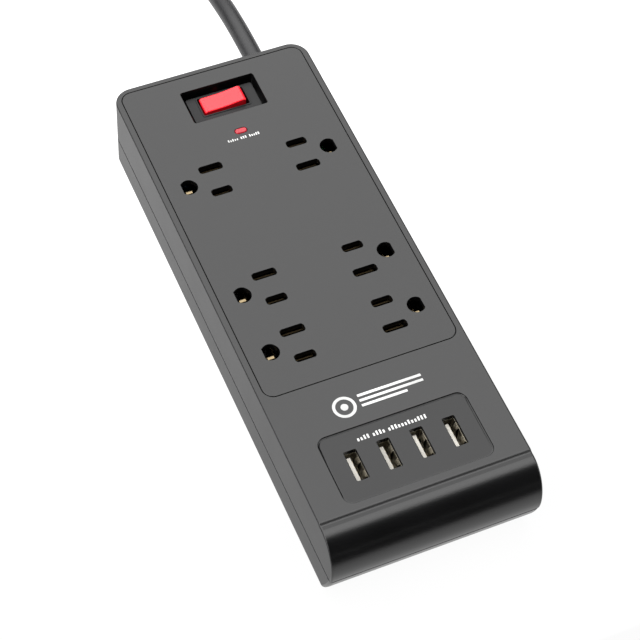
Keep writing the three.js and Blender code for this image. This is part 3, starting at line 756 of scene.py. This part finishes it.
def make_upper_housing():
    floor = TOP - USB_RECESS["depth"]
    shell = housing_part("upper_housing", SPLIT, TOP + 1, rim=0.8, seam_z=SPLIT, chamfer=0.12)
    combine(shell, housing_part("cavity", 10, TOP, inset=WALL))
    opening = flared_hole(lambda grow: panel_outline(grow + PANEL_GAP), 30, TOP, 0.25)
    combine(shell, lofts("opening", opening))
    combine(shell, lofts("recess", flared_hole(recess_outline, floor, TOP, 0.3)))
    combine(shell, recess_groove())
    mouths = [rectangle_about(x + USB_MOUTH["shift"], USB_Y, USB_MOUTH["width"], USB_MOUTH["depth"], 0.5)
              for x in USB_PORTS]
    combine(shell, lofts("mouths", *[flared_hole(mouth, 34, floor, 0.2) for mouth in mouths]))
    combine(shell, relief_hole())
    combine(shell, build("ledge", add_ledge), "UNION")
    finish(shell, look("housing"), "housing", "housing_plastic", "top_shell")
    paint_flanks(shell)
    shell.data.materials.append(look("recess"))
    for face in shell.data.polygons:
        if abs(face.center.z - floor * MM) < 1e-5 and face.normal.z > 0.9:
            face.material_index = 2


def keyhole_outline(y, radius=4.5, slot=2.2, reach=10.0):
    """A round hole with a narrower slot towards +Y, ending in a half circle."""
    start = math.asin(slot / radius)
    points = []
    for i in range(25):
        angle = math.pi / 2 + start + (2 * math.pi - 2 * start) * i / 24
        points.append((radius * math.cos(angle), y + radius * math.sin(angle)))
    for i in range(9):
        angle = math.pi * i / 8
        points.append((slot * math.cos(angle), y + reach - slot + slot * math.sin(angle)))
    return points


def make_lower_housing():
    rim = SPLIT - SEAM_GAP
    tray = housing_part("lower_housing", 0, rim, rim=1.4, seam_z=rim, chamfer=0.4)
    combine(tray, housing_part("cavity", 0, rim + 10, inset=WALL))
    bosses = bmesh.new()
    for x, y in SCREW_PLACES:
        add_turned(bosses, [(4, BASE + 1), (4, rim)], (x, y, 0))
    for y in KEYHOLE_ROWS:
        add_block(bosses, (-9, 9), (y - 11, y + 17), (BASE + 1, 6.8), 1.5)
    combine(tray, new_object("bosses", bosses), "UNION")
    cuts = bmesh.new()
    for x, y in SCREW_PLACES:
        add_turned(cuts, [
            (3.2, 0), (3.2, 1.5), (2.9, 1.8), (2.9, 5), (1.75, 5), (1.75, rim + 1)], (x, y, 0))
    for x, y in FOOT_PLACES.values():
        add_turned(cuts, [(5.5, 0), (5.5, 1.5), (5.3, 1.7), (5.3, 2.3)], (x, y, 0), steps=40)
    for y in KEYHOLE_ROWS:
        add_prism(cuts, keyhole_outline(y), 0, BASE + 3)
    combine(tray, new_object("cuts", cuts))
    undercuts = bmesh.new()
    for y in KEYHOLE_ROWS:
        add_block(undercuts, (-4.8, 4.8), (y - 5, y + 11), (BASE + 1.6, BASE + 3.6), 0.5)
    combine(tray, new_object("undercuts", undercuts))
    combine(tray, relief_hole())
    finish(tray, look("housing"), "housing", "housing_plastic", "bottom_shell")
    paint_flanks(tray)


def ground_outline(side, y):
    """A round hole with one flat on the side away from the blade slots."""
    def outline(grow):
        radius = GROUND_RADIUS + grow
        middle = 0 if side > 0 else math.pi
        sweep = 360 - 2 * GROUND_FLAT
        angles = [middle + math.radians(GROUND_FLAT + sweep * i / 28) for i in range(29)]
        return [(side * GROUND_COLUMN + radius * math.cos(a), y + radius * math.sin(a)) for a in angles]
    return outline


def socket_holes():
    """Cutters for every blade slot and ground hole, with rounded lead-ins."""
    holes = []
    for y in ROWS:
        for side in (-1, 1):
            neutral = rectangle_about(side * COLUMN, y - side * SLOT_OFFSET, NEUTRAL_SLOT, SLOT_WIDTH, 1.1)
            hot = rectangle_about(side * COLUMN, y + side * SLOT_OFFSET, HOT_SLOT, SLOT_WIDTH, 1.1)
            for outline, flare in ((neutral, 0.3), (hot, 0.3), (ground_outline(side, y), 0.25)):
                holes.append(flared_hole(outline, TOP - ROOF - 1, TOP, flare))
    return holes


def lens_outline(margin):
    return rectangle_about(0, LENS["y"], LENS["length"] + margin, LENS["width"] + margin,
                           (LENS["width"] + margin) / 2 - 0.02, steps=8)


def make_outlet_panel():
    y, width, depth, floor, wall = (WELL[k] for k in ("y", "width", "depth", "floor", "wall"))
    panel = lofts("outlet_face", rounded_slab(panel_outline, TOP - ROOF, TOP, 0, 0.25))
    tray = rectangle_about(0, y, width + 2 * wall, depth + 2 * wall, 1.5)
    combine(panel, lofts("tray", [level(tray(0), floor - 2), level(tray(0), TOP - 1)]), "UNION")
    combine(panel, lofts("pocket", flared_hole(rectangle_about(0, y, width, depth, 0.8), floor, TOP, 0.35)))
    gaps = 2 * SWITCH_BODY["gap"]
    body_hole = rectangle_about(0, PIVOT.y, SWITCH_BODY["width"] + gaps, SWITCH_BODY["depth"] + gaps, 0.5)
    combine(panel, lofts("body_hole", [level(body_hole(0), z) for z in (floor - 3, floor + 1)]))
    lens_hole = flared_hole(lens_outline(0.3), TOP - ROOF - 1, TOP, 0.15)
    combine(panel, lofts("holes", lens_hole, *socket_holes()))
    finish(panel, look("housing"), "housing", "housing_plastic", "outlet_panel")


def make_lens():
    dome = lofts("indicator_window", rounded_slab(lens_outline(0), 35, TOP + 0.3, 0, 0.6, steps=6),
                 rounded_slab(lens_outline(1.6), 34.2, 34.95, 0.1, 0.1))
    finish(dome, look("lens"), "housing", "lens_plastic", "indicator_lens")


# Rows of upright strokes that stand in for printed captions: surface, y of the foot, height and
# pitch of the strokes, and the first stroke's x and the number of strokes in each word.
CAPTIONS = (
    (TOP, 74.9, 1.3, 0.95, ((-7.2, 5), (-1.6, 3), (2.2, 5))),
    (TOP - USB_RECESS["depth"], -76.0, 1.9, 1.35, ((-15.6, 4), (-9.2, 4), (-2.8, 12))),
)
STROKE_HEIGHTS = (1.0, 0.7)  # shares of a caption's height
EMBLEM = {"x": -14.5, "y": -60.6, "outer": 4.7, "inner": 3.5, "dot": 1.5}
EMBLEM_LINES = ((-57.7, -8.0, 18.6), (-60.0, -8.0, 18.6), (-62.3, -8.0, 11.0))  # y, and x of both ends
EMBLEM_LINE_HEIGHT = 1.1
INK_THICKNESS = 0.03


def add_mark(bm, x0, x1, y0, y1, surface):
    outline = rounded_rectangle(x0, x1, y0, y1, 0.12, steps=2)
    add_loft(bm, [level(outline, surface - 0.02), level(outline, surface + INK_THICKNESS)])


def make_marks():
    """White printed marks, a few hundredths of a millimetre thick."""
    heights = random.Random(4)
    bm = bmesh.new()
    for surface, foot, height, pitch, words in CAPTIONS:
        for start, count in words:
            for i in range(count):
                x = start + i * pitch
                top = foot + height * heights.choice(STROKE_HEIGHTS)
                add_mark(bm, x, x + pitch * 0.55, foot, top, surface)
    for y, x0, x1 in EMBLEM_LINES:
        add_mark(bm, x0, x1, y - EMBLEM_LINE_HEIGHT / 2, y + EMBLEM_LINE_HEIGHT / 2, TOP)
    low, high = TOP - 0.02, TOP + INK_THICKNESS
    outer, inner, dot = (circle(EMBLEM["x"], EMBLEM["y"], EMBLEM[k]) for k in ("outer", "inner", "dot"))
    add_ring_band(bm, [level(outer, low), level(outer, high), level(inner, high), level(inner, low)])
    add_loft(bm, [level(dot, low), level(dot, high)])
    finish(new_object("white_marks", bm), look("ink"), "housing", "port_tongue")


def make_feet():
    for corner, (x, y) in FOOT_PLACES.items():
        pairs = [(0.3, 0.35), (3.4, 0.35), (3.8, 0), (4.6, 0), (4.9, 0.15), (5, 0.5), (5, 2)]
        foot = build(f"foot_pad_{corner}", lambda bm: add_turned(bm, pairs, (x, y, 0), steps=40))
        finish(foot, look("rubber"), "housing", "foot_rubber", f"foot_{corner}")


def make_screws():
    master = build("screw", lambda bm: add_turned(bm, [
        (1.5, 2.4), (2.2, 2.55), (2.6, 3.1), (2.6, 4.7), (1.4, 4.7), (1.4, 25.6), (0.3, 26.8)]))
    arms = build("cross", lambda bm: add_block(bm, (-1.6, 1.6), (-0.35, 0.35), (2, 3.6), 0.1))
    combine(master, arms)
    combine(master, build("cross", lambda bm: add_block(bm, (-0.35, 0.35), (-1.6, 1.6), (2, 3.6), 0.1)))
    for i, (x, y) in enumerate(SCREW_PLACES):
        screw = bpy.data.objects.new(f"cross_screw_{i + 1}", master.data.copy())
        bpy.context.scene.collection.objects.link(screw)
        screw.data.transform(Matrix.Translation((x, y, 0)))
        finish(screw, look("steel"), "housing", "screw_steel", f"case_screw_{i + 1}")
    bpy.data.objects.remove(master)


# ---------- switch ----------
def make_switch_bezel():
    """A flange that stands in the well with a gap round it, a thin rim round the rocker, and the body."""
    y, top, low = PIVOT.y, SWITCH_FLANGE["top"], WELL["floor"] + SEAM_GAP
    flange = rectangle_about(0, WELL["y"], SWITCH_FLANGE["width"], SWITCH_FLANGE["depth"], 1.2)
    bezel = lofts("switch_bezel", rounded_slab(flange, low, top, 0, 0.3))
    rim_top, rim_walls = top + SWITCH_RIM["height"], 2 * SWITCH_RIM["wall"]
    rim = rectangle_about(0, y, SWITCH_ROOM["width"] + rim_walls, SWITCH_ROOM["depth"] + rim_walls, 0.8)
    combine(bezel, lofts("rim", rounded_slab(rim, top - 0.5, rim_top, 0, 0.2)), "UNION")
    body = rectangle_about(0, y, SWITCH_BODY["width"], SWITCH_BODY["depth"], 0.6)
    heights = (SWITCH_BODY["bottom"], low + 0.5)
    combine(bezel, lofts("body", [level(body(0), z) for z in heights]), "UNION")
    room = rectangle_about(0, y, SWITCH_ROOM["width"], SWITCH_ROOM["depth"], 0.5)
    combine(bezel, lofts("room", flared_hole(room, SWITCH_ROOM["bottom"], rim_top, 0.2)))
    cuts = bmesh.new()
    for i in (-1, 0, 1):
        add_block(cuts, (i * 7.5 - 0.7, i * 7.5 + 0.7), (y - 2.7, y + 2.7), (16, 20))
    add_turned(cuts, [(1.5, -6.5), (1.5, 6.5)], PIVOT, "Y")
    combine(bezel, new_object("cuts", cuts))
    finish(bezel, look("switch"), "housing", "switch_plastic", "switch_housing")


def rocker_outline():
    """(x, z) points about the pivot: a shallow V on top with small facets at both ends."""
    top = [(x, 4.55 + 0.07 * math.sqrt(x * x + 2)) for x in (-8.4, -7, -5, -3, -1.5, 0, 1.5, 3, 5, 7, 8.4)]
    half = [(9.3, 4.4), (9.1, 3.3), (8.9, -1), (3.2, -2), (2.4, -3.4)]
    return top + half + [(-x, z) for x, z in reversed(half)]


def make_rocker():
    """The rocker is lit from inside: its top and rounded edges glow, and its sides are painted a darker red
    as shade.
    """
    rocker = build("rocker_cap", lambda bm: add_prism(bm, rocker_outline(), *ROCKER_Y, "Y"))
    bevel(rocker, 0.7, 4, 28)
    ends = [(1.0, -5.9), (1.2, -5.7), (1.2, 5.7), (1.0, 5.9)]
    stub = build("stub", lambda bm: add_turned(bm, ends, axis="Y"))
    combine(rocker, stub, "UNION")
    hollows = bmesh.new()
    for side in (-1, 1):
        add_block(hollows, (side * 5.7 - 2.4, side * 5.7 + 2.4), (-3.3, 3.3), (-4, 2.6), 0.4)
    add_turned(hollows, [(1.5, -5), (1.5, 2.5)])
    combine(rocker, new_object("hollows", hollows))
    rocker.data.transform(Matrix.Translation(PIVOT) @ Matrix.Rotation(ROCKER_TILT, 4, "Y"))
    finish(rocker, look("rocker"), "switch_rocker", "rocker_plastic", "rocker", sharp=50)
    # Painted shade: faces that don't face up get the darker red copy of the lit plastic.
    rocker.data.materials.append(look("rocker_painted_shade"))
    for face in rocker.data.polygons:
        face.material_index = 0 if face.normal.z > 0.3 else 1


# ---------- bus bar seen through the ground holes ----------
LEAF = {"half_width": 1.3, "root": 2.05, "throat": 1.35, "tip": 2.75, "bend": 0.5, "sheet": 0.22}
FRONT_LEAF_TOPS = {-1: 37.1, 1: 35.4}  # in the left and the right column
BACK_LEAF_TOP = 30.3


def add_leaf(bm, side, y, leaf):
    """A contact leaf that leans towards the pin, with a flat lip that turns away from it."""
    x = side * GROUND_COLUMN - 0.7
    top = FRONT_LEAF_TOPS[side] if leaf < 0 else BACK_LEAF_TOP
    bend = LEAF["bend"]
    route = [(x, y + leaf * LEAF["root"], 18), (x, y + leaf * LEAF["root"], 23),
             (x, y + leaf * LEAF["throat"], top - 3), (x, y + leaf * LEAF["throat"], top - bend)]
    for i in range(1, 7):
        angle = math.radians(15 * i)
        route.append((x, y + leaf * (LEAF["throat"] + bend * (1 - math.cos(angle))),
                      top - bend + bend * math.sin(angle)))
    route.append((x, y + leaf * LEAF["tip"], top))
    half, sheet = LEAF["half_width"], LEAF["sheet"]
    add_planar_sweep(bm, route, [(-half, -sheet), (half, -sheet), (half, sheet), (-half, sheet)], (1, 0, 0))


def make_ground_bar():
    bm = bmesh.new()
    add_block(bm, (-33.8, 33.8), (-46.4, -45.6), (18, 24), 0.2)
    for side in (-1, 1):
        x = side * 33.8
        add_block(bm, (x - 0.4, x + 0.4), (-46.4, 62), (18, 24), 0.2)
        for y in ROWS:
            for leaf in (-1, 1):
                add_leaf(bm, side, y, leaf)
    finish(new_object("ground_contacts", bm), look("brass"), "housing", "contact_brass", "ground_bus")


# ---------- USB ports ----------
SLEEVE = {"width": 6.0, "depth": 13.7, "sheet": 0.4, "low": 21.9, "high": 35.2}


def port_sleeve(bm):
    """A folded metal sleeve with a rounded lip, closed at its foot."""
    outer = rectangle_about(0, USB_Y, SLEEVE["width"], SLEEVE["depth"], 0.7, steps=5)
    sheet, low, high = SLEEVE["sheet"], SLEEVE["low"], SLEEVE["high"]
    rings = [level(outer(0), low), level(outer(0), high - 0.2)]
    for i in range(1, 6):
        angle = math.pi * i / 6
        rings.append(level(outer(-sheet / 2 * (1 - math.cos(angle))), high - 0.2 + 0.2 * math.sin(angle)))
    rings += [level(outer(-sheet), high - 0.2), level(outer(-sheet), low + 1.1)]
    add_loft(bm, rings)


def port_springs(bm):
    """Two sprung tongues of the sleeve that press on the plug from the +X side."""
    wall = SLEEVE["width"] / 2 - SLEEVE["sheet"]
    for y in (USB_Y - 3.1, USB_Y + 3.1):
        route = [(wall + 0.05, y, 35.0), (wall - 0.3, y, 34.6), (wall - 0.9, y, 33.8),
                 (wall - 1.1, y, 32.4),
                 (wall - 0.6, y, 30.2), (wall - 0.2, y, 28.2), (wall + 0.05, y, 26.6)]
        section = [(-1.35, -0.12), (1.35, -0.12), (1.35, 0.12), (-1.35, 0.12)]
        add_planar_sweep(bm, route, section, (0, 1, 0))


def port_tongue(bm):
    tongue = rectangle_about(-1.0, USB_Y, 2.1, 11, 0.3, steps=3)
    add_loft(bm, rounded_slab(tongue, SLEEVE["low"] + 4, 34.4, 0, 0.5, steps=4))
    base = rectangle_about(0, USB_Y, 4.2, 11.7, 0.3, steps=3)
    add_loft(bm, rounded_slab(base, SLEEVE["low"] + 1.4, SLEEVE["low"] + 4.4, 0, 0.2, steps=3))


def port_contacts(bm):
    """Four contact strips on the tongue's inner face."""
    for y, width in ((-3.5, 1.1), (-1.1, 1.0), (1.1, 1.0), (3.5, 1.1)):
        add_block(bm, (0.0, 0.18), (USB_Y + y - width / 2, USB_Y + y + width / 2), (27, 33.8))


def make_usb_ports():
    for i, x in enumerate(USB_PORTS, start=1):
        move = Matrix.Translation((x, 0, 0))
        sleeve = build(f"port_{i}_sleeve", port_sleeve, port_springs)
        tongue = build(f"port_{i}_tongue", port_tongue)
        contacts = build(f"port_{i}_contacts", port_contacts)
        for obj in (sleeve, tongue, contacts):
            obj.data.transform(move)
        finish(sleeve, look("nickel"), "housing", "port_nickel", f"usb_shell_{i}")
        finish(tongue, look("tongue"), "housing", "port_tongue", f"usb_tongue_{i}")
        finish(contacts, look("brass"), "housing", "contact_brass")


# ---------- cord's fittings ----------
def make_strain_relief():
    """A short ribbed sleeve that thins towards its tip."""
    pairs = [(7.5, 111), (7.5, 114.8), (5.8, 114.8), (5.8, 117.6),
             (6.8, 117.6), (7, 117.9), (7, 119.2), (6.7, 119.5)]
    for i in range(3):
        start = 119.8 + 2.5 * i
        radius = 6.2 - 0.35 * i
        pairs += [(radius - 0.8, start), (radius - 0.8, start + 0.8), (radius - 0.15, start + 0.85),
                  (radius, start + 1.05), (radius, start + 2.1), (radius - 0.15, start + 2.3)]
    pairs += [(4.8, 127.2), (4.6, 127.3)]
    relief = build("ribbed_relief", lambda bm: add_turned(bm, pairs, EXIT, "Y", steps=40))
    finish(relief, look("cord"), "housing", "cord_jacket", "strain_relief")


def make_tie():
    """A woven strap round the coil, with its free end lapped over the top."""
    angle = -0.75 * math.pi
    loop = rounded_rectangle(COIL["inner"] + 0.4, COIL["outer"] - 0.4, 0.4, COIL["top"] - 0.4, 4.0)
    half = [(-4, -0.3), (-3.8, -0.4), (3.8, -0.4), (4, -0.3)]
    section = half + [(-across, -outwards) for across, outwards in half]
    place = Matrix.Translation((COIL["x"], COIL["y"], 0)) @ Matrix.Rotation(angle, 4, "Z")
    bm = bmesh.new()
    add_planar_sweep(bm, [(r, 0, z) for r, z in loop], section, (0, 1, 0), closed=True)
    lap = [(48 + i, 0, COIL["top"] + 0.42) for i in range(0, 13, 3)]
    add_planar_sweep(bm, lap, section, (0, 1, 0))
    tie = new_object("coil_strap", bm)
    tie.data.transform(place)
    return finish(tie, look("strap"), "housing", "strap_fabric", "cord_tie")


def plug_section(x, shrink, radius):
    half = 13 - shrink
    outline = rounded_rectangle(-half, half, -half, half, min(radius, half - 0.1), steps=8)
    return [(x, PLUG["y"] + a, PLUG["z"] + b) for a, b in outline]


def make_plug_body():
    """The moulded body, with a waist for the fingers, grip bars and a ribbed neck."""
    # distance from the face, how far the sides are pulled in, and the corners' radius
    stops = [(0, 1.0, 5), (0.3, 0.4, 5), (0.9, 0.05, 5), (1.8, 0, 5), (7, 0.1, 5.5), (10, 0.9, 6),
             (14, 2.2, 7), (20, 2.8, 8), (26, 2.9, 8), (32, 3.2, 8.5), (36, 4.2, 8), (38.6, 5.2, 7.6),
             (39.6, 6.0, 6.9), (40, 7.0, 5.9)]
    bm = bmesh.new()
    add_loft(bm, [plug_section(PLUG["face"] + along, shrink, radius) for along, shrink, radius in stops])
    for side in (-1, 1):
        for i in range(5):
            x = PLUG["face"] + 17 + 3.2 * i
            y = PLUG["y"] + side * 10.2
            add_block(bm, (x - 0.7, x + 0.7), (y - 0.7, y + 0.7), (PLUG["z"] - 5, PLUG["z"] + 5), 0.5)
    pairs = [(7.6, -0.4), (7.6, 1.2)]
    for i in range(7):
        radius = 7.2 - 0.32 * i
        start = 1.8 + 3.0 * i
        pairs += [(radius - 0.8, start), (radius - 0.8, start + 0.9), (radius - 0.1, start + 1.0),
                  (radius, start + 1.2), (radius, start + 2.5), (radius - 0.15, start + 2.7)]
    pairs += [(4.6, 23.2), (4.5, 23.7)]
    add_turned(bm, pairs, (PLUG["back"], PLUG["y"], PLUG["z"]), "X", steps=32)
    return finish(new_object("moulded_plug", bm), look("cord"), "housing", "cord_jacket", "plug_body")


def make_blade(name, node, side):
    """A flat blade with a chamfered tip and a hole, pointing to -X."""
    root, length = PLUG["face"] - 0.3, 17.5
    y = PLUG["y"] + side * SLOT_OFFSET
    low, high = PLUG["z"] + 1.3, PLUG["z"] + 7.65
    tip = root - length
    outline = [(tip, low + 1.6), (tip + 0.5, low + 0.6), (tip + 1.6, low), (root, low), (root, high),
               (tip + 1.6, high), (tip + 0.5, high - 0.6), (tip, high - 1.6)]
    blade = build(name, lambda bm: add_prism(bm, outline, y - 0.75, y + 0.75, "Y"))
    bevel(blade, 0.2, 2, 50)
    hole = build("hole", lambda bm: add_turned(
        bm, [(1.6, -3), (1.6, 3)], (tip + 3.6, y, (low + high) / 2), "Y", steps=24))
    combine(blade, hole)
    return finish(blade, look("blade"), "housing", "blade_brass", node)


def make_ground_pin():
    root, length, radius = PLUG["face"] - 0.3, 20.6, 2.4
    pairs = [(0.4, -length), (1.2, -length + 0.25), (1.9, -length + 0.8), (2.3, -length + 1.6),
             (radius, -length + 2.6), (radius, 0)]
    foot = (root, PLUG["y"], PLUG["z"] - 7.4)
    pin = build("round_pin", lambda bm: add_turned(bm, pairs, foot, "X", steps=28))
    return finish(pin, look("blade"), "housing", "blade_brass", "plug_ground_pin")


# ---------- CAD nodes that keep their own shape ----------
NODE_LOOKS = {
    "housing_plastic": "housing", "switch_plastic": "switch", "rocker_plastic": "rocker",
    "lens_plastic": "lamp", "foot_rubber": "rubber", "screw_steel": "steel",
    "contact_brass": "brass", "spring_steel": "steel", "circuit_board": "board",
    "varistor_coating": "varistor", "fuse_body": "fuse", "port_nickel": "nickel",
    "port_tongue": "tongue", "transformer_core": "core", "capacitor_can": "can",
    "line_insulation": "line", "neutral_insulation": "neutral", "ground_insulation": "ground",
    "cord_jacket": "cord", "strap_fabric": "strap", "blade_brass": "blade",
}
SHADE_PAINTED_NODES = ("neutral_bus", "hot_bus")  # deep behind the blade slots; their brass is painted nearly black as shade


def paint_nodes():
    for part in frame["record"]["subparts"]:
        materials = frame["nodes"][part["node"]].data.materials
        materials.clear()
        # painted shade: the bus bars behind the slots get the nearly black brass
        dark = part["node"] in SHADE_PAINTED_NODES
        materials.append(look("bus" if dark else NODE_LOOKS[part["material_slot"]]))


cord = add_cord()
paint_nodes()
make_upper_housing()
make_lower_housing()
make_outlet_panel()
make_lens()
make_marks()
make_feet()
make_screws()
make_switch_bezel()
make_rocker()
make_ground_bar()
make_usb_ports()
make_strain_relief()
fittings = [make_tie(), make_plug_body(), make_blade("hot_prong", "plug_hot_blade", -1),
            make_blade("neutral_prong", "plug_neutral_blade", 1), make_ground_pin()]
